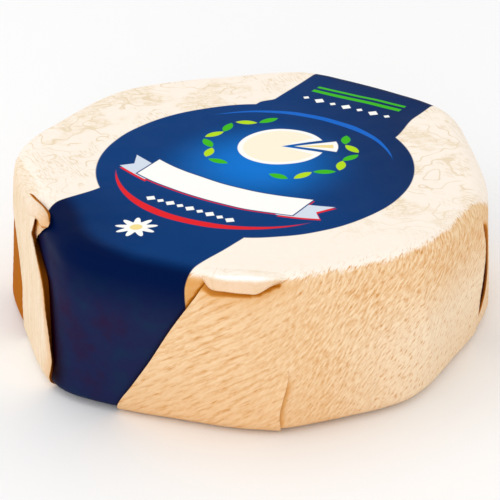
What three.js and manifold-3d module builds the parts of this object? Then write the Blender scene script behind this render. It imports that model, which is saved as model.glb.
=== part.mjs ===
// A whole brie in its shop wrapper: a low eight-sided pack of pleated paper drawn tight
// round a solid wheel, lying on its flat base. Millimetres, +Z up.
import * as THREE from 'three';
import { mergeVertices } from 'three/addons/utils/BufferGeometryUtils.js';
import Module from 'manifold-3d';

const wasm = await Module();
wasm.setup();

// Driving dimensions
const packHeight = 54;
const rimRadius = 7; // soft upper edge, where the paper turns over the wheel
const heelRadius = 5; // tighter lower edge
const topCorner = 18; // sharpness of the corners: 2 is round, 40 is a true polygon
const baseCorner = 20;
const nominalRadius = 76; // lathe radius, before the sides are drawn flat
const aroundSteps = 112;
const wallRings = 7;
const arcSteps = 5;
const paperBite = 1.6; // how far a pleat's slab reaches into the wheel

// The sides of the pack: the way each one faces, in degrees from +X towards +Y, and how far
// it stands from the middle at the top and at the base. The front has one more than eight,
// since a broad pleat flattens its lower right part.
const sides = [
  { faces: -130, top: 70, base: 74.8 },
  { faces: -88, top: 76.5, base: 77.5 },
  { faces: -75, top: 78, base: 70 },
  { faces: -35, top: 75, base: 71.5 },
  { faces: 6, top: 75, base: 69 },
  { faces: 38, top: 71.5, base: 77.5 },
  { faces: 86, top: 80, base: 74 },
  { faces: 135, top: 80.5, base: 74 },
  { faces: 181, top: 78.5, base: 81.5 },
];

// Pleats: the paper left over at each corner, folded flat against a side. Bearings are
// [at the base, at the top], heights are [lower edge, upper edge], and the two lifts say
// how proud the left and right edges stand. An edge with a negative lift dies into the wall.
const pleats = [
  { left: [-92, -68], right: [-46, -60], heights: [0.4, 50], lifts: [1.0, -0.5] },
  { left: [-137, -153], right: [-110, -121], heights: [0.4, 47], lifts: [0.6, 1.9] },
  { left: [-8, -12], right: [19, 12], heights: [0.4, 47], lifts: [-0.4, 1.9] },
  { left: [-52, -55], right: [-30, -42], heights: [0.4, 22], lifts: [0.8, -0.5] },
  { left: [62, 62], right: [86, 68], heights: [0.4, 48], lifts: [-0.5, 1.2] },
  { left: [88, 104], right: [120, 114], heights: [0.4, 48], lifts: [1.2, -0.5] },
  { left: [157, 157], right: [178, 163], heights: [0.4, 48], lifts: [-0.5, 1.4] },
];

// Open folds: narrow slots where a pleat stands away from the wall.
const slots = [
  { left: [19.4, 12.4], right: [23, 15], heights: [7, 44], depth: 2.6 },
  { left: [-140, -155], right: [-137.6, -153.4], heights: [6, 42], depth: 1.0 },
];

const rad = THREE.MathUtils.degToRad;
const lerp = THREE.MathUtils.lerp;

// Distance from the middle to the wall, for a direction and a height. Each side is a plane
// and the power rounds the corners between planes.
function wallRadius(angle, height) {
  const rise = THREE.MathUtils.clamp(height / packHeight, 0, 1);
  const sharpness = lerp(baseCorner, topCorner, rise);
  let sum = 0;
  for (const side of sides) {
    const facing = Math.max(0, Math.cos(angle - rad(side.faces)));
    sum += (facing / lerp(side.base, side.top, rise)) ** sharpness;
  }
  return sum ** (-1 / sharpness);
}

// How far the rounded rim and heel draw the wall in at a height.
function edgeInset(height) {
  const rim = Math.max(0, height - (packHeight - rimRadius));
  const heel = Math.max(0, heelRadius - height);
  const rimInset = rimRadius - Math.sqrt(rimRadius ** 2 - Math.min(rim, rimRadius) ** 2);
  const heelInset = heelRadius - Math.sqrt(heelRadius ** 2 - heel ** 2);
  return rimInset + heelInset;
}

function wrapperPoint(angle, height, lift) {
  const reach = wallRadius(angle, height) - edgeInset(height) + lift;
  return new THREE.Vector3(reach * Math.cos(angle), reach * Math.sin(angle), height);
}

// Half section of the pack at the nominal radius, from the middle of the base to the
// middle of the top: [distance from the axis, height].
function halfSection() {
  const points = [new THREE.Vector2(0, 0)];
  const heelStart = nominalRadius - heelRadius;
  for (let i = 0; i <= arcSteps; i++) {
    const turn = (i / arcSteps) * (Math.PI / 2);
    points.push(new THREE.Vector2(
      heelStart + heelRadius * Math.sin(turn),
      heelRadius * (1 - Math.cos(turn)),
    ));
  }
  const wallSpan = packHeight - rimRadius - heelRadius;
  for (let i = 1; i <= wallRings; i++) {
    points.push(new THREE.Vector2(nominalRadius, heelRadius + (wallSpan * i) / wallRings));
  }
  for (let i = 1; i <= arcSteps; i++) {
    const turn = (i / arcSteps) * (Math.PI / 2);
    points.push(new THREE.Vector2(
      nominalRadius - rimRadius * (1 - Math.cos(turn)),
      packHeight - rimRadius * (1 - Math.sin(turn)),
    ));
  }
  points.push(new THREE.Vector2(0, packHeight));
  return points;
}

// The wheel in its paper: a lathe whose rings are drawn out to the flat sides.
function wheelGeometry() {
  const geometry = new THREE.LatheGeometry(halfSection(), aroundSteps);
  geometry.rotateX(Math.PI / 2);
  const position = geometry.attributes.position;
  for (let i = 0; i < position.count; i++) {
    const x = position.getX(i);
    const y = position.getY(i);
    const height = position.getZ(i);
    const stretch = wallRadius(Math.atan2(y, x), height) / nominalRadius;
    position.setXY(i, x * stretch, y * stretch);
  }
  return geometry;
}

// A slab between two slanting edges that follows the wall. Its box is warped so that X runs
// round the pack, Y up it and Z out of it.
function wallSlab(left, right, heights, liftAt, depth) {
  const geometry = new THREE.BoxGeometry(1, 1, 1, 5, 7, 1);
  const position = geometry.attributes.position;
  for (let i = 0; i < position.count; i++) {
    const across = position.getX(i) + 0.5;
    const up = position.getY(i) + 0.5;
    const outer = position.getZ(i) > 0;
    const from = lerp(left[0], left[1], up);
    const to = lerp(right[0], right[1], up);
    const height = lerp(heights[0], heights[1], up);
    const lift = outer ? liftAt(across, up) : -depth;
    const point = wrapperPoint(rad(lerp(from, to, across)), height, lift);
    position.setXYZ(i, point.x, point.y, point.z);
  }
  return geometry;
}

function toSolid(geometry) {
  geometry.deleteAttribute('normal');
  geometry.deleteAttribute('uv');
  const merged = mergeVertices(geometry, 1e-4);
  return new wasm.Manifold(new wasm.Mesh({
    numProp: 3,
    vertProperties: new Float32Array(merged.attributes.position.array),
    triVerts: new Uint32Array(merged.index.array),
  }));
}

function toGeometry(solid) {
  const mesh = solid.getMesh();
  const geometry = new THREE.BufferGeometry();
  geometry.setAttribute('position', new THREE.BufferAttribute(mesh.vertProperties, 3));
  geometry.setIndex(new THREE.BufferAttribute(mesh.triVerts, 1));
  return geometry;
}

// A pleat fades out at its upper end, where it runs into the rim, and is pressed close at
// the heel, where it tucks under.
function pleatSolid(pleat) {
  const [leftLift, rightLift] = pleat.lifts;
  const fade = (up) => (1 - up ** 4) * (0.4 + 0.6 * Math.min(1, up * 3));
  const liftAt = (across, up) => lerp(leftLift, rightLift, across) * fade(up);
  return toSolid(wallSlab(pleat.left, pleat.right, pleat.heights, liftAt, paperBite));
}

function slotSolid(slot) {
  return toSolid(wallSlab(slot.left, slot.right, slot.heights, () => paperBite, slot.depth));
}

function wrappedBrie() {
  let solid = toSolid(wheelGeometry());
  for (const pleat of pleats) {
    solid = solid.add(pleatSolid(pleat));
  }
  for (const slot of slots) {
    solid = solid.subtract(slotSolid(slot));
  }
  const geometry = toGeometry(solid);
  geometry.computeBoundingBox();
  const middle = geometry.boundingBox.getCenter(new THREE.Vector3());
  geometry.translate(-middle.x, -middle.y, -geometry.boundingBox.min.z);
  geometry.computeVertexNormals();
  const paper = new THREE.MeshStandardMaterial({ color: 0xf0d9b8, roughness: 0.8, metalness: 0 });
  const mesh = new THREE.Mesh(geometry, paper);
  mesh.name = 'wrapped_brie';
  return mesh;
}

const group = new THREE.Group();
group.add(wrappedBrie());

export default group;
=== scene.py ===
import math
import random

import bmesh
import bpy
from mathutils import Matrix, Vector, noise


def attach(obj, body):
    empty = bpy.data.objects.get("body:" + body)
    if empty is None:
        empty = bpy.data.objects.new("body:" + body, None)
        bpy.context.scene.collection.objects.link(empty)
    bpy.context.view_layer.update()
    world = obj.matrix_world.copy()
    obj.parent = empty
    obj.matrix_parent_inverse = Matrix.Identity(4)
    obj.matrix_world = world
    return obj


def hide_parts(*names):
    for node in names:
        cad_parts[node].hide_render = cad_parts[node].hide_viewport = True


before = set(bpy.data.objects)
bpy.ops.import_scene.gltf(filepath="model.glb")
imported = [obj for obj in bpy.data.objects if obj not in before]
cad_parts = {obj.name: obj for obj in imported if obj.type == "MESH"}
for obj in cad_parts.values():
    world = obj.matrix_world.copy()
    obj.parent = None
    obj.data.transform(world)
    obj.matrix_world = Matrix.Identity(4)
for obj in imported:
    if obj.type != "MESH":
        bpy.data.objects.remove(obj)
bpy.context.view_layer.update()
mm = 0.001
scene = bpy.context.scene

# The pack, in mm, measured from the middle of the label.
# A place on the paper is (bearing, level): degrees from +X, and mm up the half section. The level
# is the height on the wall, and goes on as arc length over the rim and under the heel.
pack = {
    "height": 54.0,
    "rim": 6.6,  # soft upper edge
    "heel": 5.0,  # lower edge
    "underLift": 0.55,  # the skin's base, so that the folded layers lie below it
    "cornerTop": 18.0,  # 2 is round, 40 is a true polygon
    "cornerBase": 20.0,
    "labelCentre": (3.52, -2.51),  # in the frame
    "radius": 76.0,  # before the sides are drawn flat
    "columns": 520,
    "wallRows": 60,
    "topRows": 24,
    "baseRows": 18,
    # the way each side faces, and its reach at the top and at the base
    "sides": [
        (-130, 70.0, 74.8),
        (-88, 76.5, 77.5),
        (-75, 78.0, 70.0),
        (-35, 75.0, 71.5),
        (6, 75.0, 69.0),
        (38, 71.5, 77.5),
        (86, 80.0, 74.0),
        (135, 80.5, 74.0),
        (181, 78.5, 81.5),
    ],
}
rimStart = pack["height"] - pack["rim"]
rimEnd = rimStart + pack["rim"] * math.pi / 2
heelEnd = pack["heel"] - pack["heel"] * math.pi / 2
under = heelEnd - 9  # how far a pleat tucks under the base
mmPerDegree = math.radians(pack["radius"])
sideNormals = [(math.radians(side[0]), side[1], side[2]) for side in pack["sides"]]


def mix(a, b, t):
    return a + (b - a) * t


def smooth(t):
    t = min(1.0, max(0.0, t))
    return t * t * (3 - 2 * t)


def between(value, low, high, soft):
    return smooth((value - low) / soft + 0.5) * smooth((high - value) / soft + 0.5)


def wallRadius(theta, z):
    rise = min(1.0, max(0.0, z / pack["height"]))
    power = mix(pack["cornerBase"], pack["cornerTop"], rise)
    total = 0.0
    for facing, top, base in sideNormals:
        c = math.cos(theta - facing)
        if c > 0.3:
            total += (c / mix(base, top, rise)) ** power
    return total ** (-1 / power)


def skinPoint(bearing, level, lift):
    rim, heel, height = pack["rim"], pack["heel"], pack["height"]
    theta = math.radians(bearing)
    if level < heelEnd:
        turn, z, inset = -math.pi / 2, 0.0, heel + heelEnd - level
    elif level < heel:
        turn = (level - heel) / heel
        z, inset = heel + heel * math.sin(turn), heel * (1 - math.cos(turn))
    elif level <= rimStart:
        turn, z, inset = 0.0, level, 0.0
    elif level < rimEnd:
        turn = (level - rimStart) / rim
        z, inset = height - rim + rim * math.sin(turn), rim * (1 - math.cos(turn))
    else:
        turn, z, inset = math.pi / 2, height, rim + level - rimEnd
    reach = wallRadius(theta, z) - inset + lift * math.cos(turn)
    return Vector((reach * math.cos(theta), reach * math.sin(theta), z + lift * math.sin(turn)))


def toFrame(point):
    cx, cy = pack["labelCentre"]
    return Vector(((point.x + cx) * mm, (point.y + cy) * mm, point.z * mm))


def nearLine(bearing, level, line):
    # distance in mm from a line of (bearing, level), and the share of the way along it
    s = bearing * mmPerDegree
    points = [(place[0] * mmPerDegree, place[1]) for place in line]
    best, share = 1e9, 0.0
    for i, ((ax, ay), (bx, by)) in enumerate(zip(points, points[1:])):
        dx, dy = bx - ax, by - ay
        t = min(1.0, max(0.0, ((s - ax) * dx + (level - ay) * dy) / (dx * dx + dy * dy)))
        distance = math.hypot(s - ax - t * dx, level - ay - t * dy)
        if distance < best:
            best, share = distance, (i + t) / (len(points) - 1)
    return best, share


def lineAt(line, value, known):
    # the level of a line at a bearing (known 0), or its bearing at a level (known 1)
    for start, end in zip(line, line[1:]):
        if value <= end[known]:
            t = max(0.0, (value - start[known]) / (end[known] - start[known]))
            return mix(start[1 - known], end[1 - known], t)
    return line[-1][1 - known]


def bearingAt(line, level):
    return lineAt(line, level, 1)


# The lines that the folds follow, from the bottom up or from left to right. Two more come from
# the edges of their sheets.
folds = {
    "wingFoot": [(-112.2, 0), (-110.3, 10.2), (-111, 17), (-112, 25.5), (-113.2, 31.5), (-115.5, 36.3),
                 (-120.8, 39.2), (-127.5, 42)],
    "flapEdge": [(-92.5, 2.2), (-87.2, 12.4), (-82, 22.5), (-76.1, 35.2), (-70.6, 46.2), (-67.8, 52)],
    "lipEdge": [(-67.7, 51.9), (-66, 50.4), (-63, 50.4), (-57, 50.1), (-54.3, 51.6), (-52.3, 52.4)],
    "heelEdge": [(-51.8, 1.5), (-52.3, 7.6), (-51.6, 12.5), (-50.3, 18), (-50.4, 22.5)],
    "slitFar": [(17.4, 6.5), (21.5, 9.5), (24.6, 14), (26, 20), (25.6, 26), (24.3, 32), (21.6, 38),
                (17, 42.6), (12, 46)],
}

relief = {
    "wheel": 0.38,  # slow unevenness of the cheese
    "ribs": 0.04,
    "ribPitch": 2.5,
    "ribTurn": math.radians(24),
    "gathers": 26,  # folds drawn together under the base
    "gatherDepth": 0.5,
}

# Creases pressed into the skin. A positive depth is a ridge.
creases = [
    {"line": [(-18.0, 53), (-17.2, 40), (-13.1, 21), (-9.4, 6)], "width": 2.0, "depth": 0.35},
    {"line": [(-27.4, 16), (-28.0, 3)], "width": 1.3, "depth": -0.5},
    {"line": [(-49.0, 54.5), (-43, 53.5), (-37, 53)], "width": 1.6, "depth": 0.35},
    {"line": [(-108, 53.5), (-98, 52.6), (-88, 52.8), (-80, 53.6)], "width": 1.5, "depth": 0.3},
    {"line": [(-101, 48), (-98, 34), (-97, 18)], "width": 4.0, "depth": -0.3},
    {"line": [(-86, 46), (-91, 30), (-93, 14)], "width": 3.5, "depth": 0.25},
]

# How the open folds look: mm deep, and how dark their painted shade is
openFolds = {"leftDepth": 1.0, "leftShade": 0.5, "slitDepth": 1.5}


def wheelRelief(point):
    slow = noise.noise(point * 0.035 + Vector((3.1, 7.7, 1.3)))
    finer = noise.noise(point * 0.11 + Vector((9.0, 2.0, 5.0)))
    return relief["wheel"] * (slow + 0.35 * finer)


def ribRelief(bearing, level):
    fade = between(level, 0, rimStart + 4, 5)
    if fade <= 0:
        return 0.0
    s = bearing * mmPerDegree
    drift = noise.noise(Vector((s * 0.09, level * 0.09, 0))) * 1.1
    across = level * math.cos(relief["ribTurn"]) - s * math.sin(relief["ribTurn"])
    strength = 0.6 + 0.6 * noise.noise(Vector((s * 0.05, level * 0.12, 4.0)))
    return relief["ribs"] * strength * fade * math.sin((across / relief["ribPitch"] + drift) * 2 * math.pi)


def creaseRelief(bearing, level):
    total = 0.0
    for crease in creases:
        if abs(bearing - crease["line"][0][0]) > 26:
            continue
        distance, share = nearLine(bearing, level, crease["line"])
        if distance < crease["width"] * 2:
            fade = smooth(share * 5) * smooth((1 - share) * 5)
            total += crease["depth"] * fade * math.exp(-((distance / crease["width"]) ** 2) * 2)
    return total


def leftRecess(bearing, level):
    # the bare wall between the near left pleat and the corner: how dark its painted shade is, and how
    # sunken
    if bearing > -130 or bearing < -168 or level > 46:
        return 0.0, 0.0
    gap = (bearingAt(folds["wingLeft"], level) + 1.2 - bearing) * mmPerDegree
    shade = smooth(gap / 1.5) * between(bearing, -162.5, -120, 3) * between(level, heelEnd + 1, 43.5, 3)
    sunk = shade * math.exp(-((max(gap, 0) / 5) ** 2))
    return shade * (1 + 0.5 * smooth((level - 26) / 14)), sunk


def rightSlit(bearing, level):
    if not 8 < bearing < 40:
        return 0.0, 0.0
    # a half moon behind the pleat's free edge, painted dark as shade, and sunk
    past = (bearing - bearingAt(folds["slitNear"], level)) * mmPerDegree
    beyond = (bearing - bearingAt(folds["slitFar"], level)) * mmPerDegree
    tall = between(level, 7, 45, 3)
    shade = smooth(past / 0.8 + 0.5) * (1 - smooth(beyond / 4.2 + 0.42)) * tall
    sunk = smooth(past / 1.4 + 0.3) * (1 - smooth(beyond / 6 + 0.9)) * tall
    return shade * (1 - 0.36 * smooth((level - 20) / 18)), sunk


def paintedPleatShadow(bearing, level):
    # painted shadow beside the pleats that stand over the label's band
    if not -130 < bearing < -64:
        return 0.0
    beside = (bearing - bearingAt(folds["wingFoot"], level)) * mmPerDegree
    darkShade = 0.0
    if beside > -2:
        darkShade = math.exp(-((max(beside - 1.5, 0) / 4.2) ** 2)) * between(level, 3, 43, 9)
    distance, share = nearLine(bearing, level, folds["flapEdge"])
    return max(darkShade, 0.75 * (1 - smooth(distance / 1.3)))


def lipShadow(bearing, level):
    # warm shade on the paper below the corner's lip: a wedge at its left, a line at its right
    if not -76 < bearing < -42 or level > 54 or level < 34:
        return 0.0
    distance, share = nearLine(bearing, level, folds["lipEdge"])
    below = smooth((lineAt(folds["lipEdge"], bearing, 0) - level) / 1.2 + 0.7)
    reach = mix(2.3, 1.3, smooth(share * 1.4))
    tight = mix(0.4, 0.56, share) * (1 - smooth((distance - reach * 0.6) / (reach * 0.7)))
    return below * max(tight, 0.14 * math.exp(-((distance / 5) ** 2)))


def cornerShade(bearing, level):
    # the small triangle above the flap, which looks away from the light
    flap = bearingAt(folds["flapEdge"], level)
    return 0.25 * between(bearing, -73, flap + 1, 1.5) * between(level, 44, 53.5, 3)


def heelShade(bearing, level):
    if not -54 < bearing < -45 or level > 24:
        return 0.0
    beside = (bearing - bearingAt(folds["heelEdge"], level)) * mmPerDegree
    return 0.26 * between(beside, -1, 1.6, 1.6) * between(level, 2, 19, 6)


def gatherRelief(bearing, level):
    # one-sided folds under the base, drawn together towards its middle
    inward = heelEnd - level
    drift = 0.35 * noise.noise(Vector((bearing * 0.04, inward * 0.03, 2.0)))
    saw = (bearing / 360 * relief["gathers"] + drift) % 1.0
    shape = saw if saw < 0.86 else (1 - saw) / 0.14 * 0.86
    return relief["gatherDepth"] * shape * smooth(inward / 14) * smooth((66 - inward) / 8)


def makeSkin():
    # one closed skin, spun from its half section and then drawn out to the sides
    bm = bmesh.new()
    levelLayer = bm.verts.layers.float.new("level")
    baseSpan = pack["radius"] - pack["heel"]
    topSpan = pack["radius"] - pack["rim"]
    rows = [heelEnd - baseSpan * (1 - i / pack["baseRows"]) for i in range(pack["baseRows"])]
    rows += [mix(heelEnd, rimEnd, i / pack["wallRows"]) for i in range(pack["wallRows"] + 1)]
    rows += [rimEnd + topSpan * (i + 1) / pack["topRows"] for i in range(pack["topRows"])]
    previous = None
    for level in rows:
        inward = max(heelEnd - level + pack["heel"], level - rimEnd + pack["rim"], 0)
        if heelEnd < level < rimEnd:
            inward = 0
        vert = bm.verts.new((max(pack["radius"] - inward, 0.0), 0, level))
        vert[levelLayer] = level
        if previous:
            bm.edges.new((previous, vert))
        previous = vert
    bmesh.ops.spin(
        bm, geom=bm.verts[:] + bm.edges[:], cent=(0, 0, 0), axis=(0, 0, 1),
        angle=2 * math.pi, steps=pack["columns"], use_merge=True)
    poles = [v for v in bm.verts if math.hypot(v.co.x, v.co.y) < 0.01]
    bmesh.ops.remove_doubles(bm, verts=poles, dist=0.02)
    shadeLayer = bm.verts.layers.float.new("shade")
    for vert in bm.verts:
        bearing = math.degrees(math.atan2(vert.co.y, vert.co.x))
        theta = math.radians(bearing)
        level = vert[levelLayer]
        if level > rimEnd:
            share = (level - rimEnd) / topSpan
            level = rimEnd + share * (wallRadius(theta, pack["height"]) - pack["rim"])
        elif level < heelEnd:
            share = (heelEnd - level) / baseSpan
            level = heelEnd - share * (wallRadius(theta, 0) - pack["heel"])
        point = skinPoint(bearing, level, 0)
        lift = wheelRelief(point) * between(level, heelEnd + 2, 1e3, 4) + ribRelief(bearing, level)
        shade = 0.0
        if heelEnd < level < rimEnd:
            left, leftSunk = leftRecess(bearing, level)
            slitShade, slitSunk = rightSlit(bearing, level)
            lift += creaseRelief(bearing, level) - leftSunk * openFolds["leftDepth"]
            lift -= slitSunk * openFolds["slitDepth"]
            # painted shade: in the open folds, beside the pleats over the band, under the lip, in the
            # corner and by the heel
            shade = max(
                left * openFolds["leftShade"], slitShade, paintedPleatShadow(bearing, level),
                lipShadow(bearing, level), cornerShade(bearing, level), heelShade(bearing, level))
            point = skinPoint(bearing, level, lift)
        else:
            point.z += lift
        if level < pack["heel"]:
            point.z = max(point.z, 0) + pack["underLift"] * smooth((pack["heel"] - level) / 6)
        if level < heelEnd:
            point.z += gatherRelief(bearing, level)
        vert[shadeLayer] = shade
        vert[levelLayer] = level
        vert.co = toFrame(point)
    bmesh.ops.recalc_face_normals(bm, faces=bm.faces[:])
    return finishMesh("wrapper", bm)


def addObject(name, data):
    made = bpy.data.objects.new(name, data)
    scene.collection.objects.link(made)
    return made


def finishMesh(name, bm):
    mesh = bpy.data.meshes.new(name)
    bm.to_mesh(mesh)
    bm.free()
    for polygon in mesh.polygons:
        polygon.use_smooth = True
    return addObject(name, mesh)


def easedPath(points, t):
    # the value at share t of a list of tuples, eased through its points
    span = t * (len(points) - 1)
    i = min(int(span), len(points) - 2)
    f = span - i
    before, here, there = points[max(i - 1, 0)], points[i], points[i + 1]
    after = points[min(i + 2, len(points) - 1)]
    return [
        0.5 * (2 * b + (c - a) * f + (2 * a - 5 * b + 4 * c - d) * f * f + (3 * b - a - 3 * c + d) * f ** 3)
        for a, b, c, d in zip(before, here, there, after)]


def rail(share, points, lift=None):
    # one line of a sheet: its share of the way across, and its (bearing, level, lift)
    if lift is not None:
        points = [(b, level, lift) for b, level in points]
    return {"share": share, "points": points}


def turnedIn(share, points, turn, lift):
    # an edge folded back under a rail
    return rail(share, [(b + turn, level, lift) for b, level, _ in points])


# The near left pleat. Its right edge stands off the wall, and shows its side to the label, painted dark as
# shade.
wingLeft = [
    (-139, under, 0.2), (-138, -1, 0.3), (-138, 5, 0.4), (-139, 12, 0.7), (-139.6, 18, 0.8),
    (-142.6, 23.5, 0.8), (-146.3, 29, 0.8), (-150.2, 32.9, 0.7), (-153.8, 35.6, 0.6), (-157, 38.5, 0.5),
    (-160, 41.5, 0.4), (-161, 44.5, 0.3), (-160.5, 47.5, 0.1), (-159, 51, -0.1), (-157, 55.5, -0.4)]
folds["wingLeft"] = [stop[:2] for stop in wingLeft[2:11]]
wingCrest = [
    (-126, under, 0.2), (-124.5, -1, 0.3), (-122.7, 6, 0.6), (-121.5, 11, 0.8), (-121.3, 16, 1.0),
    (-121.7, 21.5, 1.2), (-122.1, 27.6, 1.4), (-123.5, 33.8, 1.5), (-127.5, 38, 1.5), (-131, 41.5, 1.4),
    (-134, 45, 1.2), (-136, 47.5, 1.0), (-138, 50, 0.7), (-140, 52.5, 0.2), (-141, 55.5, -0.4)]
wingEdge = [
    (-114, under, 0.2), (-112.8, -1, 0.3), (-111.9, 4.6, 0.5), (-109.9, 11, 0.8), (-110, 16, 1.1),
    (-110.7, 21.5, 1.5), (-112.1, 27, 1.8), (-114.1, 33.1, 2.0), (-117.3, 37.6, 2.2), (-121, 41, 2.2),
    (-125.6, 44.3, 2.2), (-125.2, 46.3, 2.0), (-125.5, 48.4, 1.4), (-127, 50.4, 0.7), (-131, 53, -0.5)]
wingFoot = [
    (-112, under, -0.2), (-112.2, -1, -0.2), (-111.6, 3.3, -0.2), (-110.3, 10.2, -0.2),
    (-110.8, 14.8, -0.2), (-111.2, 19.5, -0.2), (-112, 25.5, -0.2), (-113.2, 31.5, -0.2),
    (-115.5, 36.3, -0.2), (-120.8, 39.2, -0.2), (-127.5, 42, -0.2), (-128, 45.5, -0.2),
    (-128.5, 48.4, -0.2), (-129, 50.4, -0.4), (-132, 53, -0.7)]


def wingShade(u, v, bearing, level):
    side = smooth((u - 0.9) / 0.03) * (0.9 if level < 42 else 0.55)
    edge = 0.15 * smooth((u - 0.76) / 0.13) * between(level, 6, 36, 8)
    low = 0.12 * smooth((u - 0.7) / 0.2) * between(level, 0, 11, 7)
    return max(side, edge, low, 0.6 * smooth((0.035 - u) / 0.02))


def earFlapShade(u, v, bearing, level):
    return 0.15 + 0.33 * (1 - smooth((u - 0.15) / 0.55))


def earShade(u, v, bearing, level):
    ridge = 0.62 * (1 - smooth((u - 0.1) / 0.12)) * smooth((v - 0.05) / 0.2)
    lobe = 0.15 * smooth((v - 0.6) / 0.3) + 0.06 * smooth((v - 0.3) / 0.3)
    return max(ridge, lobe, 0.33 * smooth((u - 0.72) / 0.15) * smooth((v - 0.5) / 0.2))


def flapShade(u, v, bearing, level):
    return max(lipShadow(bearing, level), heelShade(bearing, level))


def lipShade(u, v, bearing, level):
    glint = 0.3 * math.exp(-(((u - 0.5) / 0.05) ** 2)) * between(v, 0.25, 0.75, 0.2)
    return 0.13 * smooth((u - 0.54) / 0.1) + 0.3 * smooth((u - 0.82) / 0.07) - glint


# painted shade on the turned-in free edge that faces the open fold
def recessSideShade(u, v, bearing, level):
    return 0.55 * smooth((u - 0.93) / 0.04) * between(level, 2, 42, 4)


# The open fold at the right, between one pleat's free edge and the next
slitEdge = [
    (19.4, under, 0.3), (18.6, 2, 0.5), (16.6, 11.6, 1.0), (15.2, 19.6, 1.3), (14.8, 25.7, 1.4),
    (14.6, 32, 1.4), (13.8, 38, 1.1), (12.3, 43.4, 0.6), (11.6, 49, -0.3)]
folds["slitNear"] = [stop[:2] for stop in slitEdge[1:8]]
farEdge = [
    (33, under, 0.1), (32, 2, 0.1), (31, 11.6, 0.1), (30, 19.6, 0.1), (28.8, 25.7, 0.1),
    (27.4, 32, 0.0), (26, 38, -0.2), (24.4, 43.4, -0.4), (23, 49, -0.6)]
# The far side of the open fold at the left
leftEdge = [
    (-168, under, 0.2), (-168.5, 1, 0.3), (-169, 10, 0.4), (-169.5, 20, 0.5), (-170, 30, 0.5),
    (-170.5, 38, 0.4), (-171, 44, 0.2), (-171.5, 50, -0.3)]

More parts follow.
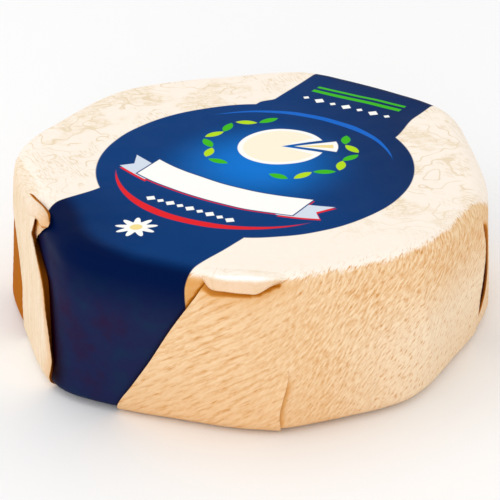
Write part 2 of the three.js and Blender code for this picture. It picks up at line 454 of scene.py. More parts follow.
# Sheets of loose paper. Each is stretched over its rails, from where it sinks into the wall to
# its free edge.
sheets = [
    {"name": "pleatNearRight", "print": "tan", "grid": (80, 90), "eased": True, "shade": flapShade,
     "rails": [
        rail(0.0, [
            (-42, under), (-42, 2), (-43, 12.5), (-44, 20.5), (-46, 32.5), (-50, 44.5), (-54, 51.6)], -0.7),
        rail(0.6, [
            (-74, under), (-72, 2), (-69, 12.5), (-67, 20.5), (-64, 32.5), (-62, 44.5), (-62, 51.6)], 0.25),
        rail(1.0, [
            (-96, under, 0.3), (-92.5, 2.2, 0.5), (-87.2, 12.4, 0.9), (-82, 22.5, 1.0),
            (-76.1, 35.2, 1.0), (-70.6, 46.2, 0.9), (-67.4, 52.6, 0.4)]),
    ]},
    {"name": "cornerLip", "print": "cream", "grid": (50, 70), "shade": lipShade,
     "rails": [
        rail(0.0, [(-71, 61), (-68, 61), (-65, 61), (-61, 61), (-57, 60), (-52, 58), (-48, 56)], -0.5),
        rail(0.5, [
            (-69.2, 55, -0.1), (-67.3, 54.4, 0.4), (-64, 54, 0.8), (-60, 54.2, 0.9), (-56.5, 54, 0.8),
            (-52.5, 53.8, 0.4), (-50.4, 53.4, -0.1)]),
        rail(0.84, [
            (-68.4, 52.6, 0.5), (-66.4, 50.5, 1.4), (-63, 50.3, 1.7), (-59, 50.1, 1.7),
            (-56.6, 50.1, 1.6), (-53.9, 51.6, 1.2), (-51.4, 52.6, 0.4)]),
        rail(1.0, [
            (-67.6, 52.7, 0.1), (-66, 51.2, 0.2), (-63, 51, 0.2), (-59, 50.8, 0.2), (-56.6, 50.8, 0.2),
            (-53.9, 52.2, 0.2), (-51.8, 52.9, 0.0)]),
    ]},
    {"name": "pleatNearLeft", "print": "cream", "grid": (100, 140), "shade": wingShade,
     "rails": [
        turnedIn(0.0, wingLeft, 0.9, -1.6), rail(0.04, wingLeft), rail(0.5, wingCrest),
        rail(0.9, wingEdge), rail(1.0, wingFoot),
    ]},
    {"name": "earFlap", "print": "cream", "grid": (36, 50), "eased": True, "shade": earFlapShade,
     "rails": [
        rail(0.0, [
            (-132.4, 40.3, 0.0), (-131, 43.2, 0.2), (-128.3, 47, 0.3), (-126.2, 49.5, 0.4),
            (-122, 52, 0.8)]),
        rail(1.0, [
            (-127, 41.6, 0.2), (-124.6, 44.2, 0.5), (-120.2, 48.1, 0.7), (-117, 51, 1.0),
            (-116.4, 52.5, 1.3)]),
    ]},
    {"name": "ear", "print": "cream", "grid": (60, 90), "eased": True, "shade": earShade,
     "rails": [
        rail(0.0, [
            (-143, 50.8, -0.5), (-138, 51.3, 0.2), (-132, 52.1, 0.5), (-125, 53.2, 0.6),
            (-119.8, 53.5, 0.9), (-116.2, 52.4, 1.2)]),
        rail(0.35, [
            (-144, 49.2, -0.3), (-138, 49.8, 0.9), (-131.4, 51, 1.9), (-124.4, 52.3, 2.8),
            (-118.6, 52.5, 2.7), (-115.8, 52.0, 1.4)]),
        rail(0.7, [
            (-145, 46, -0.1), (-139, 47.3, 0.9), (-132, 49, 1.9), (-124.5, 50.8, 2.6),
            (-118.6, 50.9, 2.5), (-115.8, 51.6, 1.3)]),
        rail(1.0, [
            (-145, 42, 0.1), (-140, 43.5, 0.7), (-133.5, 46, 1.1), (-124.6, 49.4, 1.2),
            (-119.2, 49.7, 1.2), (-116.2, 51.2, 1.1)]),
    ]},
    {"name": "pleatRight", "print": "tan", "grid": (56, 70),
     "rails": [
        rail(0.0, [
            (-6, under), (-5, 2), (-5, 11), (-4.5, 19), (-4, 26), (-3, 32), (-2, 38), (0, 43.4),
            (2, 50)], -0.7),
        rail(1.0, slitEdge),
    ]},
    {"name": "pleatRightBack", "print": "tan", "grid": (50, 70),
     "rails": [
        rail(0.0, [
            (50, under), (49, 2), (49, 11), (48, 19), (47, 26), (46, 32), (45, 38), (43, 43.4),
            (41, 50)], -0.8),
        rail(0.93, farEdge), turnedIn(1.0, farEdge, -0.6, -0.5),
    ]},
    {"name": "pleatHeel", "print": "tan", "grid": (34, 50),
     "rails": [
        rail(0.0, [(-60, under), (-58, 1.5), (-57.5, 7), (-56, 12), (-53.6, 18), (-51, 23.6)], -0.5),
        rail(1.0, [
            (-51.2, under, 0.2), (-51.6, 1.5, 0.4), (-52, 7.6, 0.9), (-51.4, 12.5, 1.1), (-50.4, 18, 0.9),
            (-49.9, 22.5, 0.2)]),
    ]},
    {"name": "pleatFarLeft", "print": "tan", "grid": (50, 60), "shade": recessSideShade,
     "rails": [
        rail(0.0, [
            (-190, under), (-189, 1), (-189, 10), (-188, 20), (-187, 30), (-185, 38), (-183, 44),
            (-181, 50)], -0.7),
        rail(0.93, leftEdge), turnedIn(1.0, leftEdge, -0.4, -1.8),
    ]},
]


def cornerBearing(i, level):
    # bearing of the corner between side i and the next, at the top (1) or the base (2)
    a, b = pack["sides"][i], pack["sides"][(i + 1) % len(pack["sides"])]
    na, nb = math.radians(a[0]), math.radians(b[0])
    det = math.sin(nb - na)
    x = (a[level] * math.sin(nb) - b[level] * math.sin(na)) / det
    y = (b[level] * math.cos(na) - a[level] * math.cos(nb)) / det
    return math.degrees(math.atan2(y, x))


def addBackPleats():
    # the corners that face away get a pleat each, folded one way or the other
    turns = {5: 1, 6: -1, 7: 1}
    for i, way in turns.items():
        low, high = cornerBearing(i, 2), cornerBearing(i, 1)
        reach = 15 + 3 * random.random()
        lift = 0.9 + 0.5 * random.random()
        free = [(low + way * (reach + 4), under, 0.3)]
        root = [(low - way * 9, under, -0.7)]
        for level in (2, 11, 23, 37, 50):
            t = (level - 2) / 48
            corner = mix(low, high, t)
            free.append((corner + way * mix(reach, 1.5, t ** 0.9), level, lift * smooth((50 - level) / 10)))
            root.append((corner - way * mix(9, 5, t), level, -0.7))
        sheets.append({
            "name": f"pleatBack{i - 4}", "print": "tan", "grid": (50, 60), "eased": True,
            "rails": [rail(0.0, root), rail(1.0, free)]})


# Loose paper, in mm: how thick, how far off the wall, and how far its base clears the ground
# before and after it turns under
loose = {"thick": 0.22, "off": 0.12, "clear": 0.1, "tuck": 0.25}


def makeSheet(settings):
    bm = bmesh.new()
    across, up = settings["grid"]
    bmesh.ops.create_grid(bm, x_segments=across, y_segments=up, size=0.5)
    shadeLayer = bm.verts.layers.float.new("shade")
    levelLayer = bm.verts.layers.float.new("level")
    shares = [one["share"] for one in settings["rails"]]
    last = len(shares) - 2
    for vert in bm.verts:
        u, v = vert.co.x + 0.5, vert.co.y + 0.5
        span = next((i for i in range(last + 1) if u <= shares[i + 1]), last)
        f = (u - shares[span]) / (shares[span + 1] - shares[span])
        stops = [easedPath(one["points"], v) for one in settings["rails"]]
        if settings.get("eased"):
            bearing, level, lift = easedPath(stops, (span + f) / (last + 1))
        else:
            bearing, level, lift = [mix(a, b, f) for a, b in zip(stops[span], stops[span + 1])]
        lift += wheelRelief(skinPoint(bearing, level, 0)) * between(level, heelEnd + 2, 1e3, 4)
        lift += ribRelief(bearing, level) + loose["off"]
        point = skinPoint(bearing, level, lift)
        if level < pack["heel"]:
            point.z = max(point.z, loose["clear"]) + loose["tuck"] * smooth((pack["heel"] - level) / 6)
        if "shade" in settings:
            vert[shadeLayer] = settings["shade"](u, v, bearing, level)
        vert[levelLayer] = level
        vert.co = toFrame(point)
    bm.normal_update()
    middle = Vector((0, 0, 0.02))
    outward = sum(face.normal.dot(face.calc_center_median() - middle) for face in bm.faces)
    if outward < 0:
        bmesh.ops.reverse_faces(bm, faces=bm.faces[:])
    piece = finishMesh(settings["name"], bm)
    wall = piece.modifiers.new("paper", "SOLIDIFY")
    wall.thickness = loose["thick"] * mm
    wall.offset = -1
    return piece


def srgb(code):
    # linear colour from a six-digit web colour
    values = [int(code[i:i + 2], 16) / 255 for i in (0, 2, 4)]
    return [v / 12.92 if v <= 0.04045 else ((v + 0.055) / 1.055) ** 2.4 for v in values] + [1.0]


def wire(tree, socket, value):
    # the value is another node's output, a number or a web colour
    if isinstance(value, bpy.types.NodeSocket):
        tree.links.new(value, socket)
    else:
        socket.default_value = srgb(value) if isinstance(value, str) else value


def calc(tree, operation, *values):
    node = tree.nodes.new("ShaderNodeMath")
    node.operation = operation
    for socket, value in zip(node.inputs, values):
        wire(tree, socket, value)
    return node.outputs[0]


def plus(tree, a, b):
    return calc(tree, "ADD", a, b)


def minus(tree, a, b):
    return calc(tree, "SUBTRACT", a, b)


def larger(tree, a, b):
    return calc(tree, "MAXIMUM", a, b)


def smaller(tree, a, b):
    return calc(tree, "MINIMUM", a, b)


def apart(tree, a, b):
    return calc(tree, "ABSOLUTE", minus(tree, a, b))


def angleFrom(tree, x, y, cx, cy):
    return calc(tree, "ARCTAN2", minus(tree, y, cy), minus(tree, x, cx))


def product(tree, *values):
    total = values[0]
    for value in values[1:]:
        total = calc(tree, "MULTIPLY", total, value)
    return total


def ramp(tree, value, low, high, toLow=0.0, toHigh=1.0, kind="LINEAR"):
    node = tree.nodes.new("ShaderNodeMapRange")
    node.interpolation_type = kind
    sockets = ("Value", "From Min", "From Max", "To Min", "To Max")
    for name, given in zip(sockets, (value, low, high, toLow, toHigh)):
        wire(tree, node.inputs[name], given)
    return node.outputs[0]


def inside(tree, distance, soft=0.14):
    return ramp(tree, distance, soft, -soft)


def blendInk(tree, ground, ink, share):
    node = tree.nodes.new("ShaderNodeMix")
    node.data_type = "RGBA"
    wire(tree, node.inputs["Factor"], share)
    wire(tree, node.inputs["A"], ground)
    wire(tree, node.inputs["B"], ink)
    return node.outputs["Result"]


def noiseAt(tree, vector, scale, detail=3.0, roughness=0.5):
    node = tree.nodes.new("ShaderNodeTexNoise")
    wire(tree, node.inputs["Vector"], vector)
    node.inputs["Scale"].default_value = scale
    node.inputs["Detail"].default_value = detail
    node.inputs["Roughness"].default_value = roughness
    return node.outputs["Fac"]


def turned(tree, x, y, turn):
    # a place seen from axes that are turned by an angle
    c, s = math.cos(turn), math.sin(turn)
    along = plus(tree, product(tree, x, c), product(tree, y, s))
    return along, minus(tree, product(tree, y, c), product(tree, x, s))


def strokeField(tree, x, y, settings, detail=2.0, roughness=0.55):
    # noise drawn out along strokes that climb to the right
    along, across = turned(tree, x, y, math.radians(settings["turn"]))
    join = tree.nodes.new("ShaderNodeCombineXYZ")
    wire(tree, join.inputs[0], product(tree, along, 1 / settings["length"]))
    wire(tree, join.inputs[1], product(tree, across, 1 / settings["width"]))
    join.inputs[2].default_value = settings.get("seed", 0.0)
    return noiseAt(tree, join.outputs[0], 1.0, detail, roughness)


def attribute(tree, name):
    node = tree.nodes.new("ShaderNodeAttribute")
    node.attribute_name = name
    return node.outputs["Fac"]


def distanceTo(tree, place, x, y):
    node = tree.nodes.new("ShaderNodeVectorMath")
    node.operation = "DISTANCE"
    wire(tree, node.inputs[0], place)
    node.inputs[1].default_value = (x, y, 0)
    return node.outputs["Value"]


def packPlace(tree):
    # Object coordinates in mm from the middle of the label: the vector, x, y and the flat vector
    coordinates = tree.nodes.new("ShaderNodeTexCoord")
    mapping = tree.nodes.new("ShaderNodeMapping")
    mapping.inputs["Scale"].default_value = (1000, 1000, 1000)
    cx, cy = pack["labelCentre"]
    mapping.inputs["Location"].default_value = (-cx, -cy, 0)
    tree.links.new(coordinates.outputs["Object"], mapping.inputs["Vector"])
    split = tree.nodes.new("ShaderNodeSeparateXYZ")
    tree.links.new(mapping.outputs[0], split.inputs[0])
    join = tree.nodes.new("ShaderNodeCombineXYZ")
    tree.links.new(split.outputs[0], join.inputs[0])
    tree.links.new(split.outputs[1], join.inputs[1])
    return mapping.outputs[0], split.outputs[0], split.outputs[1], join.outputs[0]


paper = {
    "cream": "FDF2E5",
    "wing": "F0DBBF",
    "light": "F8E6CB",
    "tan": "E0AD76",
    "pale": "F5D7AF",
    "fleck": "CB8B47",
    "beige": "F4E0BC",
    # painted light and shade for the folds: a glint, warm shade, shade inside an open fold and the deepest
    # shade
    "glint": "FFFFFF",
    "warmShade": "DFA25A",
    "recessShade": "B0640A",  # painted shade inside an open fold
    "darkShade": "3E1604",  # painted shade in the deepest part of a fold
    "pen": "D9BE8A",
    "roughness": 0.62,
    "specular": 0.01,
    "bump": 0.5,
    "bumpDepth": 0.0005,
}

# The hatched print of the sides, in mm and degrees: broad rows at the near right, and short
# steep dashes further round
hatch = {
    "rows": {"turn": 33, "length": 5.5, "width": 1.1},
    "wave": {"turn": 33, "pitch": 2.7, "wander": 2.4},
    "dashes": {"turn": 55, "length": 2.9, "width": 0.8},
    "threads": {"turn": 30, "length": 6.5, "width": 0.65},
    "flecks": {"turn": 44, "length": 2.0, "width": 0.6},
    "streaks": {"turn": 98, "length": 24, "width": 1.7},  # down the loose cream paper
    "seam": 150,  # bearing where the print begins and ends
}

# Where the tan print begins: the level, how uneven it is, and by how many mm it moves between
# two places
tanEdge = {
    "level": (54.2, 52.6),
    "wander": 3.5,
    "strokes": -5,
    "right": (66, 75, 0.0, -2.6),
    "back": (12, 28, 0.0, 8.5),
    "left": (-20, -32, 0.0, 6.0),
}


def wallRuns(tree, x, y):
    # mm round the wall, counted from two sides, and the share of the second, which hides the
    # seam of the first
    rx, ry = turned(tree, x, y, math.radians(hatch["seam"] - 180))
    first = product(tree, calc(tree, "ARCTAN2", ry, rx), pack["radius"])
    ox, oy = product(tree, rx, -1), product(tree, ry, -1)
    second = product(tree, calc(tree, "ARCTAN2", oy, ox), pack["radius"])
    return first, second, ramp(tree, rx, -30, -50)


def dashField(tree, runs, level, settings):
    first, second = [strokeField(tree, run, level, settings) for run in runs[:2]]
    return ramp(tree, runs[2], 0, 1, first, second)


def rowWave(tree, place, theta, level, settings):
    # rows, whole in number round the pack so that they close on themselves
    turn = math.radians(settings["turn"])
    rounds = round(2 * math.pi * pack["radius"] * math.sin(turn) / settings["pitch"])
    climb = product(tree, level, math.cos(turn) / settings["pitch"])
    around = product(tree, theta, rounds / (2 * math.pi))
    wander = product(tree, noiseAt(tree, place, 0.09, 3.0, 0.6), settings["wander"])
    phase = plus(tree, minus(tree, climb, around), wander)
    return calc(tree, "SINE", product(tree, phase, 2 * math.pi))


def paperField(tree, place, x, y, level, kind):
    # cream paper that turns tan and hatched on the walls: its colour and its relief
    runs = wallRuns(tree, x, y)
    wave = rowWave(tree, place, calc(tree, "ARCTAN2", y, x), level, hatch["wave"])
    rows = dashField(tree, runs, level, hatch["rows"])
    dashes = dashField(tree, runs, level, hatch["dashes"])
    flecks = dashField(tree, runs, level, hatch["flecks"])
    towardsRight = plus(tree, product(tree, x, 0.94), product(tree, y, 0.34))
    finer = ramp(tree, towardsRight, 8, 40)
    crest = ramp(tree, plus(tree, wave, product(tree, flecks, 2.4)), 1.3, 2.3)
    streaks = ramp(tree, rows, 0.36, 0.66)
    long = plus(tree, product(tree, crest, 0.55), product(tree, streaks, 0.45))
    short = ramp(tree, dashes, 0.36, 0.63)
    weave = ramp(tree, finer, 0, 1, long, short)
    strength = 0.8 if kind == "tan" else 0.15
    marks = ramp(tree, finer, 0, 1, dashField(tree, runs, level, hatch["threads"]), flecks)
    fleck = product(tree, ramp(tree, marks, 0.53, 0.68), plus(tree, 0.25, weave), strength)
    # the tan print begins a little higher at the right, and lower at the left and the back
    edgeNoise = minus(tree, noiseAt(tree, place, 0.33, 4.0, 0.65), 0.5)
    uneven = plus(tree, level, product(tree, edgeNoise, tanEdge["wander"]))
    uneven = plus(tree, uneven, product(tree, minus(tree, flecks, 0.5), tanEdge["strokes"]))
    uneven = plus(tree, uneven, ramp(tree, x, *tanEdge["right"]))
    if kind == "tan":
        lower = larger(tree, ramp(tree, y, *tanEdge["back"]), ramp(tree, x, *tanEdge["left"]))
        uneven = plus(tree, uneven, lower)
    wall = ramp(tree, uneven, *tanEdge["level"])
    tan = blendInk(tree, paper["pale"], paper["tan"], weave)
    patch = noiseAt(tree, place, 0.05, 3.0)
    tan = blendInk(tree, tan, paper["pale"], ramp(tree, patch, 0.45, 0.7, 0.0, 0.35))
    tan = blendInk(tree, tan, paper["tan"], ramp(tree, level, 26, 0, 0.0, 0.4))
    tan = blendInk(tree, tan, paper["tan"], ramp(tree, finer, 1, 0, 0.0, 0.2))
    # paler down the right
    rightLow = product(tree, ramp(tree, x, 54, 74), ramp(tree, level, 44, 26))
    tan = blendInk(tree, tan, paper["light"], product(tree, rightLow, 0.75))
    tan = blendInk(tree, tan, paper["fleck"], fleck)
    ground = paper["cream"]
    share = wall
    if kind == "cream":
        drawn = ramp(tree, dashField(tree, runs, level, hatch["streaks"]), 0.46, 0.7, 1.0, 0.4)
        ground = blendInk(tree, ground, paper["wing"], product(tree, ramp(tree, uneven, 55, 46), drawn))
        share = product(tree, wall, 0.14)
    mottle = ramp(tree, noiseAt(tree, place, 0.6, 4.0, 0.7), 0.4, 0.72, 0.0, 0.13)
    ground = blendInk(tree, ground, paper["pale"], mottle)
    beyond = product(tree, fleck, ramp(tree, uneven, 59, 53), ramp(tree, x, -25, 5, 0.0, 0.5))
    ground = blendInk(tree, ground, paper["fleck"], beyond)
    colour = blendInk(tree, ground, tan, share)
    fibre = noiseAt(tree, place, 0.8, 5.0, 0.7)
    height = plus(tree, product(tree, weave, wall, -0.05), product(tree, fibre, 0.4))
    return colour, height


# Faint drawing on the cream top: flowing outlines, finer scribble, and patches of hatching
pen = {
    "flow": {"scale": 0.028, "turns": 16, "width": 0.055, "strength": 0.5},
    "scribble": {"scale": 0.12, "turns": 9, "width": 0.11, "strength": 0.34},
    "hatching": [
        {"turn": 35, "length": 4.5, "width": 0.42, "seed": 3.0},
        {"turn": -30, "length": 3.5, "width": 0.42, "seed": 9.0},
    ],
    "hatchStrength": 0.5,
    "tint": 0.14,
}


def penStrokes(tree, place, settings):
    field = noiseAt(tree, place, settings["scale"], 3.0, 0.5)
    off = apart(tree, calc(tree, "FRACT", product(tree, field, settings["turns"])), 0.5)
    return ramp(tree, off, settings["width"] * 1.6, settings["width"] * 0.5)


def penLines(tree, place, x, y, level, kind, colour):
    # fainter towards the front
    back = minus(tree, y, product(tree, x, 0.4))
    onTop = ramp(tree, back, -52, -16, 0.1, 1.0)
    if kind == "tan":
        onTop = product(tree, onTop, ramp(tree, level, 48, 56))
    else:
        onTop = larger(tree, onTop, 0.6)
    patches = noiseAt(tree, place, 0.05, 3.0, 0.55)
    high = product(tree, ramp(tree, patches, 0.53, 0.59), onTop)
    low = product(tree, ramp(tree, patches, 0.45, 0.40), onTop)
    colour = blendInk(tree, colour, paper["beige"], product(tree, high, pen["tint"]))
    fields = [strokeField(tree, x, y, settings, 1.0, 0.5) for settings in pen["hatching"]]
    first, second = [ramp(tree, field, 0.5, 0.62) for field in fields]
    hatching = larger(tree, product(tree, first, high), product(tree, second, low))
    hatching = product(tree, hatching, pen["hatchStrength"])
    fine = product(tree, penStrokes(tree, place, pen["scribble"]), high, pen["scribble"]["strength"])
    gaps = ramp(tree, noiseAt(tree, place, 0.07, 2.0), 0.44, 0.52)
    flow = product(tree, penStrokes(tree, place, pen["flow"]), gaps, onTop, pen["flow"]["strength"])
    share = larger(tree, hatching, larger(tree, fine, flow))
    return blendInk(tree, colour, paper["pen"], share)


label = {
    "radius": 49.9,
    # the band's edges: their x changes with y, from the first two numbers to the last two
    "nearLeft": (-56, -36, -37.6, -32.0),
    "nearRight": (-66, -42, 22.6, 24.4),
    "farLeft": (44, 50, -26.8, -24.0),
    "farRight": (41, 60, 26.8, 24.0),
    "navy": "063A76",
    "farNavy": "12264E",
    "rimNavy": "02113A",
    "sideNavy": "1E2448",
    "maroon": "301430",
    "slate": "182E4A",
    # painted shade laid over the print beside the pleats
    "paintedShade": "140006",
    "glow": "0878D6",
    "red": "E1242C",
    "blue": "1766C8",
    "white": "FBFAF6",
    "cream": "FBF1D8",
    "yellow": "F2DC92",
    "green": "3FB81E",
    "lime": "B6DC1C",
    "tail": "D3DCE9",
}


def labelField(tree, x, y, flat, level):
    # distance to the edge of the round label and its band, negative inside
    disc = minus(tree, distanceTo(tree, flat, 0, 0), label["radius"])
    sides = ("nearLeft", "nearRight", "farLeft", "farRight")
    nearLeft, nearRight, farLeft, farRight = [ramp(tree, y, *label[side], "SMOOTHSTEP") for side in sides]
    # the print runs on under the pleat
    underPleat = product(tree, ramp(tree, y, -52, -60, 0.0, 11.0), ramp(tree, level, 52, 49))
    nearLeft = minus(tree, nearLeft, underPleat)
    near = larger(tree, minus(tree, nearLeft, x), minus(tree, x, nearRight))
    near = larger(tree, near, y)
    far = larger(tree, minus(tree, farLeft, x), minus(tree, x, farRight))
    far = larger(tree, far, product(tree, y, -1))
    return smaller(tree, disc, smaller(tree, near, far))


def paintNavy(tree, place, x, y, flat, level):
    # printed blue glow on the top, near black at the rim as painted shade; down the side a greyer navy,
    # partly print and partly painted reflection, with slate and maroon patches
    glow = ramp(tree, distanceTo(tree, flat, 0, 2), 36, 3, kind="SMOOTHSTEP")
    colour = blendInk(tree, label["navy"], label["glow"], product(tree, glow, 0.9))
    colour = blendInk(tree, colour, label["farNavy"], ramp(tree, plus(tree, x, y), 12, 75, 0.0, 0.75))
    # darker towards the near left
    nearLeft = product(tree, ramp(tree, x, 4, -32), ramp(tree, y, -30, -58))
    dim = plus(tree, product(tree, nearLeft, 0.42), ramp(tree, y, -20, -55, 0.0, 0.1))
    colour = blendInk(tree, colour, label["rimNavy"], dim)
    # painted shade: near black along the rim
    close = minus(tree, level, product(tree, nearLeft, 6))
    rim = ramp(tree, close, 60, 53, 0.0, 0.95, "SMOOTHSTEP")
    colour = blendInk(tree, colour, label["rimNavy"], rim)
    patches = noiseAt(tree, place, 0.06, 3.0, 0.6)
    side = blendInk(tree, label["sideNavy"], label["maroon"], ramp(tree, patches, 0.5, 0.68, 0.0, 0.7))
    side = blendInk(tree, side, label["slate"], ramp(tree, patches, 0.47, 0.34, 0.0, 0.7))
    return blendInk(tree, colour, side, ramp(tree, level, 51, 33, kind="SMOOTHSTEP"))


def stamp(tree, colour, ink, distance):
    # one shape of the label in one of its inks
    return blendInk(tree, colour, label[ink], inside(tree, distance))


def nearest(tree, distances):
    closest = distances[0]
    for distance in distances[1:]:
        closest = smaller(tree, closest, distance)
    return closest


arcs = [
    {"ink": "blue", "middle": math.pi / 2, "spread": 0.95, "radius": 43.6, "width": 1.3},
    {"ink": "red", "middle": -math.pi / 2, "spread": 1.0, "radius": 43.6, "width": 1.5},
]


def paintArcs(tree, x, y, flat, colour):
    radius = distanceTo(tree, flat, 0, 0)
    angle = calc(tree, "ARCTAN2", y, x)
    for arc in arcs:
        off = apart(tree, angle, arc["middle"])
        taper = ramp(tree, off, arc["spread"], arc["spread"] * 0.25)
        reach = apart(tree, radius, arc["radius"])
        band = minus(tree, reach, product(tree, taper, arc["width"]))
        share = product(tree, inside(tree, band), ramp(tree, taper, 0.02, 0.2))
        colour = blendInk(tree, colour, label[arc["ink"]], share)
    return colour


wheelPrint = {
    "centre": (-1.0, 17.0), "size": 14.0, "cut": 0.55, "half": 0.36, "drawn": 4.2,
    "rind": 1.7, "border": 1.5,
}


def paintWheel(tree, x, y, flat, colour):
    # a round cheese with a slice drawn out of it
    cx, cy = wheelPrint["centre"]
    cut, size = wheelPrint["cut"], wheelPrint["size"]
    off = apart(tree, angleFrom(tree, x, y, cx, cy), cut)
    notch = product(tree, minus(tree, off, wheelPrint["half"]), -8)
    whole = larger(tree, minus(tree, distanceTo(tree, flat, cx, cy), size), notch)
    colour = stamp(tree, colour, "white", whole)
    colour = stamp(tree, colour, "cream", plus(tree, whole, wheelPrint["rind"]))
    sx = cx + wheelPrint["drawn"] * math.cos(cut)
    sy = cy + wheelPrint["drawn"] * math.sin(cut)
    off = apart(tree, angleFrom(tree, x, y, sx, sy), cut)
    slope = product(tree, minus(tree, off, wheelPrint["half"] - 0.06), 8)
    wedge = larger(tree, minus(tree, distanceTo(tree, flat, sx, sy), size), slope)
    colour = stamp(tree, colour, "white", wedge)
    return stamp(tree, colour, "yellow", plus(tree, wedge, wheelPrint["border"]))


def leafDistance(tree, flat, x, y, turn):
    # a pointed leaf: what two circles share
    half, width = wreath["length"] / 2, wreath["width"]
    bend = (half * half - (width / 2) ** 2) / width
    nx, ny = -math.sin(turn), math.cos(turn)
    left = distanceTo(tree, flat, x + nx * bend, y + ny * bend)
    right = distanceTo(tree, flat, x - nx * bend, y - ny * bend)
    return minus(tree, larger(tree, left, right), bend + width / 2)


wreath = {
    "reach": (24.0, 21.0), "leaves": 7, "first": -62, "step": 19,
    "length": 7.2, "width": 3.0, "lean": 0.5,
}


def paintWreath(tree, flat, colour):
    cx, cy = wheelPrint["centre"]
    wide, high = wreath["reach"]
    leaves = {"green": [], "lime": []}
    for side in (-1, 1):
        for i in range(wreath["leaves"]):
            t = math.radians(wreath["first"] + i * wreath["step"])
            px = cx + side * wide * math.cos(t)
            py = cy - 1 + high * math.sin(t)
            tangent = math.atan2(high * math.cos(t), -side * wide * math.sin(t))
            ink = "lime" if i % 2 else "green"
            lean = side * wreath["lean"] * (1 if i % 2 else -1)
            leaves[ink].append(leafDistance(tree, flat, px, py, tangent + lean))
    for ink, distances in leaves.items():
        colour = stamp(tree, colour, ink, nearest(tree, distances))
    return colour


ribbon = {
    "y": -22.0, "bow": 0.0055, "half": 28.5, "high": 6.0, "border": 0.5,
    "tail": (24.0, 33.5), "tailHigh": 4.6, "tailDrop": 2.4, "notch": 0.7,
}


def paintRibbon(tree, x, y, colour):
    # a blank bowed ribbon with a red underside
    bow = product(tree, x, x, ribbon["bow"])
    start, end = ribbon["tail"]
    for ink, tailInk, sx, sy in (("red", "red", 0.9, -1.0), ("white", "tail", 0.0, 0.0)):
        bx = apart(tree, x, sx)
        by = minus(tree, minus(tree, y, bow), sy + ribbon["y"])
        tailY = calc(tree, "ABSOLUTE", plus(tree, by, ribbon["tailDrop"]))
        swallow = minus(tree, bx, plus(tree, end, product(tree, tailY, ribbon["notch"])))
        tail = larger(tree, swallow, minus(tree, tailY, ribbon["tailHigh"]))
        tail = larger(tree, tail, minus(tree, start, bx))
        tall = minus(tree, calc(tree, "ABSOLUTE", by), ribbon["high"])
        face = larger(tree, minus(tree, bx, ribbon["half"]), tall)
        colour = stamp(tree, colour, tailInk, tail)
        if ink == "white":
            colour = stamp(tree, colour, "navy", minus(tree, face, ribbon["border"]))
        colour = stamp(tree, colour, ink, face)
    return colour


ornaments = {
    "nearRow": {"count": 4, "step": 3.6, "y": -36.0, "sizes": (1.7, 1.25)},
    "farRow": {"count": 3, "step": 5.2, "y": 56.0, "sizes": (1.9, 1.2)},
    "stripes": [(62.6, 1.0), (66.0, 0.7)],
    "stripeReach": 17,
    "daisy": {"centre": (-6.5, -54.5), "petals": 9, "size": 4.9, "depth": 1.5, "eye": 1.9},
}


def paintOrnaments(tree, x, y, flat, colour):
    # rows of lozenges, two stripes and a daisy
    lozenges = []
    for row in (ornaments["nearRow"], ornaments["farRow"]):
        for i in range(-row["count"], row["count"] + 1):
            reach = plus(tree, apart(tree, x, i * row["step"]), apart(tree, y, row["y"]))
            lozenges.append(minus(tree, reach, row["sizes"][i % 2]))
    colour = stamp(tree, colour, "white", nearest(tree, lozenges))
    for middle, half in ornaments["stripes"]:
        stripe = minus(tree, apart(tree, y, middle), half)
        ends = minus(tree, calc(tree, "ABSOLUTE", x), ornaments["stripeReach"])
        colour = stamp(tree, colour, "green", larger(tree, stripe, ends))
    daisy = ornaments["daisy"]
    cx, cy = daisy["centre"]
    bearing = angleFrom(tree, x, y, cx, cy)
    petal = calc(tree, "COSINE", product(tree, bearing, daisy["petals"]))
    edge = plus(tree, daisy["size"], product(tree, petal, daisy["depth"]))
    reach = distanceTo(tree, flat, cx, cy)
    colour = stamp(tree, colour, "white", minus(tree, reach, edge))
    return stamp(tree, colour, "yellow", minus(tree, reach, daisy["eye"]))


def paintLabel(tree, place, x, y, flat, level):
    colour = paintNavy(tree, place, x, y, flat, level)
    colour = paintArcs(tree, x, y, flat, colour)
    colour = paintWheel(tree, x, y, flat, colour)
    colour = paintWreath(tree, flat, colour)
    colour = paintRibbon(tree, x, y, colour)
    return paintOrnaments(tree, x, y, flat, colour)


def paintGlintAndShade(tree, colour, shade):
    # painted highlight on a ridge, and painted shade in folds: warm tan where the shade is light, orange
    # brown inside a fold, dark where it is deep
    colour = blendInk(tree, colour, paper["glint"], ramp(tree, shade, 0.0, -0.3))
    colour = blendInk(tree, colour, paper["warmShade"], ramp(tree, shade, 0.0, 0.3))
    colour = blendInk(tree, colour, paper["recessShade"], ramp(tree, shade, 0.2, 0.5))
    return blendInk(tree, colour, paper["darkShade"], ramp(tree, shade, 0.5, 1.0))


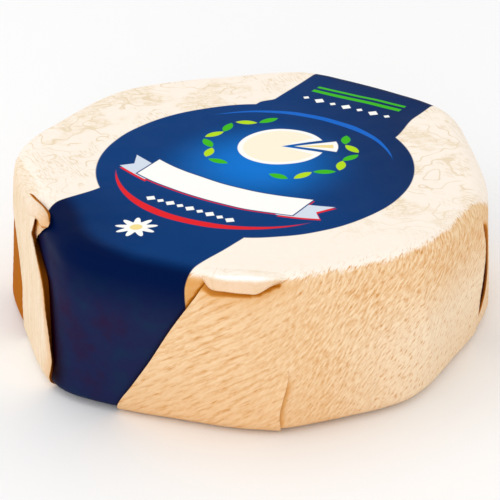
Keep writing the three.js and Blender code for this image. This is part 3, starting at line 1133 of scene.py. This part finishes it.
def wrapperMaterial(name, kind, printed):
    material = bpy.data.materials.new(name)
    material.use_nodes = True
    tree = material.node_tree
    shader = tree.nodes["Principled BSDF"]
    place, x, y, flat = packPlace(tree)
    level = attribute(tree, "level")
    shade = attribute(tree, "shade")
    colour, height = paperField(tree, place, x, y, level, kind)
    if kind == "cream" or printed:
        colour = penLines(tree, place, x, y, level, kind, colour)
    colour = paintGlintAndShade(tree, colour, shade)
    roughness = paper["roughness"]
    if printed:
        share = inside(tree, labelField(tree, x, y, flat, level), 0.18)
        share = product(tree, share, ramp(tree, level, heelEnd - 8, heelEnd - 6))
        art = paintLabel(tree, place, x, y, flat, level)
        # painted shade and shadow on the print
        art = blendInk(tree, art, label["paintedShade"], shade)
        colour = blendInk(tree, colour, art, share)
        height = product(tree, height, ramp(tree, share, 0.0, 1.0, 1.0, 0.25))
        inkRough = ramp(tree, noiseAt(tree, place, 0.12, 3.0), 0.3, 0.7, 0.32, 0.46)
        roughness = ramp(tree, share, 0.0, 1.0, paper["roughness"], inkRough)
    wire(tree, shader.inputs["Base Color"], colour)
    wire(tree, shader.inputs["Roughness"], roughness)
    shader.inputs["Specular IOR Level"].default_value = paper["specular"]
    bump = tree.nodes.new("ShaderNodeBump")
    bump.inputs["Strength"].default_value = paper["bump"]
    bump.inputs["Distance"].default_value = paper["bumpDepth"]
    wire(tree, bump.inputs["Height"], height)
    tree.links.new(bump.outputs[0], shader.inputs["Normal"])
    return material


view = {
    "azimuth": 33.456, "elevation": 26.961, "roll": -0.867,  # degrees
    "aim": (4.9, -11.0, 30.6), "distance": 627.7,  # mm from the middle of the label's foot
    "focal": 2001.0,  # pixels in a 500 pixel frame
}


def makeCamera():
    data = bpy.data.cameras.new("photoView")
    data.sensor_width = 36
    data.lens = view["focal"] / 500 * data.sensor_width
    data.clip_start = 0.01
    camera = addObject("photoView", data)
    turn = Matrix.Rotation(math.radians(view["azimuth"]), 4, "Z")
    turn = turn @ Matrix.Rotation(math.radians(90 - view["elevation"]), 4, "X")
    turn = turn @ Matrix.Rotation(math.radians(view["roll"]), 4, "Z")
    back = turn.to_3x3() @ Vector((0, 0, 1))
    place = toFrame(Vector(view["aim"]) + back * view["distance"])
    camera.matrix_world = Matrix.Translation(place) @ turn
    scene.camera = camera


studio = {
    "sky": 0.9,
    "floor": 0.96,
    "lamps": [
        {"name": "overhead", "place": (-0.25, -0.1, 0.9), "size": 0.7, "power": 0.8},
        {"name": "leftFront", "place": (-0.7, -0.75, 0.45), "size": 0.5, "power": 0.9},
        {"name": "rightFront", "place": (0.55, -0.95, 0.3), "size": 0.5, "power": 1.8},
    ],
}


def makeLamp(settings):
    data = bpy.data.lights.new(settings["name"], "AREA")
    data.shape = "DISK"
    data.size = settings["size"]
    data.energy = settings["power"]
    lamp = addObject(settings["name"], data)
    lamp.location = settings["place"]
    towards = Vector((0, 0, 0.03)) - Vector(settings["place"])
    lamp.rotation_euler = towards.to_track_quat("-Z", "Y").to_euler()


def makeStudio():
    world = bpy.data.worlds.new("studio")
    world.use_nodes = True
    sky = world.node_tree.nodes["Background"]
    sky.inputs["Color"].default_value = (1, 1, 1, 1)
    sky.inputs["Strength"].default_value = studio["sky"]
    scene.world = world
    for settings in studio["lamps"]:
        makeLamp(settings)
    bm = bmesh.new()
    bmesh.ops.create_grid(bm, x_segments=1, y_segments=1, size=3.0)
    floor = finishMesh("floor", bm)
    material = bpy.data.materials.new("paleFloor")
    material.use_nodes = True
    shader = material.node_tree.nodes["Principled BSDF"]
    shader.inputs["Base Color"].default_value = (studio["floor"], studio["floor"], studio["floor"], 1)
    shader.inputs["Roughness"].default_value = 0.9
    floor.data.materials.append(material)
    scene.view_settings.view_transform = "Standard"


def place(piece, material):
    piece.data.materials.append(material)
    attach(piece, "root")
    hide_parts("wrapped_brie")


random.seed(11)
makeCamera()
makeStudio()
print("studio ready")
papers = {
    "tan": wrapperMaterial("tanPaper", "tan", False),
    "cream": wrapperMaterial("creamPaper", "cream", False),
}
place(makeSkin(), wrapperMaterial("printedPaper", "tan", True))
print("wrapper ready")
addBackPleats()
for settings in sheets:
    place(makeSheet(settings), papers[settings["print"]])
print("pleats ready:", len(sheets))
